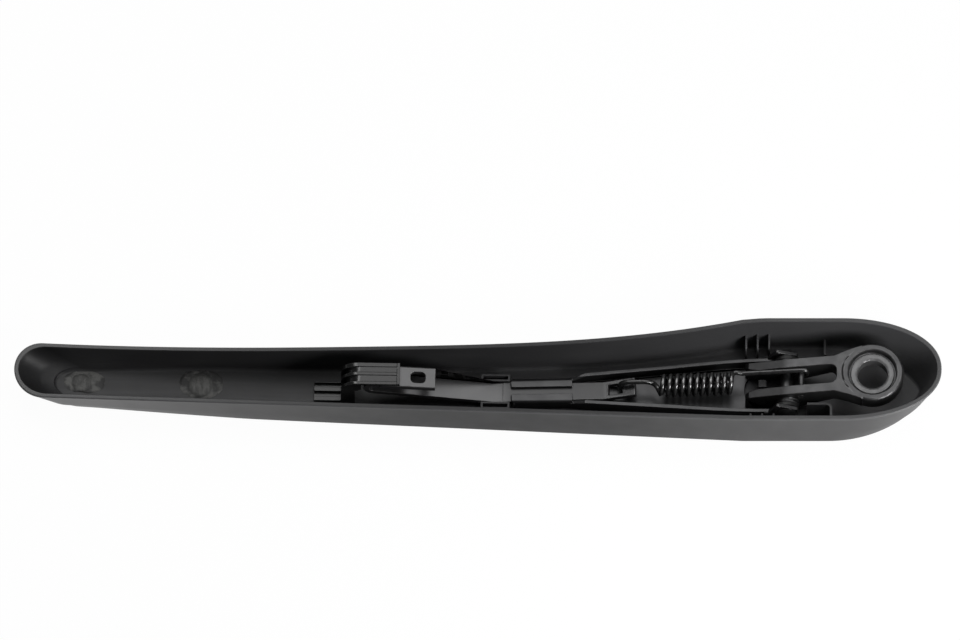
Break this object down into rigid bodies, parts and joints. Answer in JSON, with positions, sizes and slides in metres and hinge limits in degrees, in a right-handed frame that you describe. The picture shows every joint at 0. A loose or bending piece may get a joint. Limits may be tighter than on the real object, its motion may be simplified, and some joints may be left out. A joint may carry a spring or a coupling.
{
  "type": "wiper arm",
  "caption": "Covered rear wiper arm: a moulded shell with a steel channel, hooked strap, tension spring and a die-cast head that swings on a rivet.",
  "frame": {"origin": "mouth of the spindle bore, on the bore's axis, on the glass side", "axes": "+X along the arm from the blade end to the spindle end, +Z along the spindle bore towards the glass, +Y across, away from the straight edge"},
  "size_m": [0.3706, 0.0444, 0.025],
  "materials": {
    "shell_plastic": "moulded black plastic, satin outside, duller inside",
    "channel_steel": "dark coated sheet steel",
    "strap_steel": "satin grey coated steel strip",
    "adapter_plastic": "smooth dark moulding",
    "spring_steel": "dark coated spring wire, worn bright on the crowns",
    "rivet_steel": "dull steel",
    "die_cast": "satin grey coating over a casting",
    "sleeve_steel": "machined, dull grey",
    "bush_plastic": "dark bearing plastic",
    "compound": "flattened blob of soft sealing compound, smeared"
  },
  "bodies": {
    "arm": {"arm_shell": "shell_plastic", "retainer_channel": "channel_steel", "arm_strap": "strap_steel", "blade_adapter": "adapter_plastic", "tension_spring": "spring_steel", "hinge_rivet": "rivet_steel", "compound_pad_tip": "compound", "compound_pad_mid": "compound"},
    "head": {"mounting_head": "die_cast", "spindle_sleeve": "sleeve_steel", "hook_pin": "rivet_steel", "hinge_bush_far": "bush_plastic", "hinge_bush_near": "bush_plastic"}
  },
  "joints": [
    {"name": "head_swing", "type": "hinge", "parent": "arm", "child": "head", "pos_m": [-0.0342, 0, -0.0099], "axis": [0, 1, 0], "range_deg": [0, 11], "stiffness_Nm_per_rad": 1.2, "springref_deg": -57.3, "deforming": ["tension_spring"]}
  ]
}
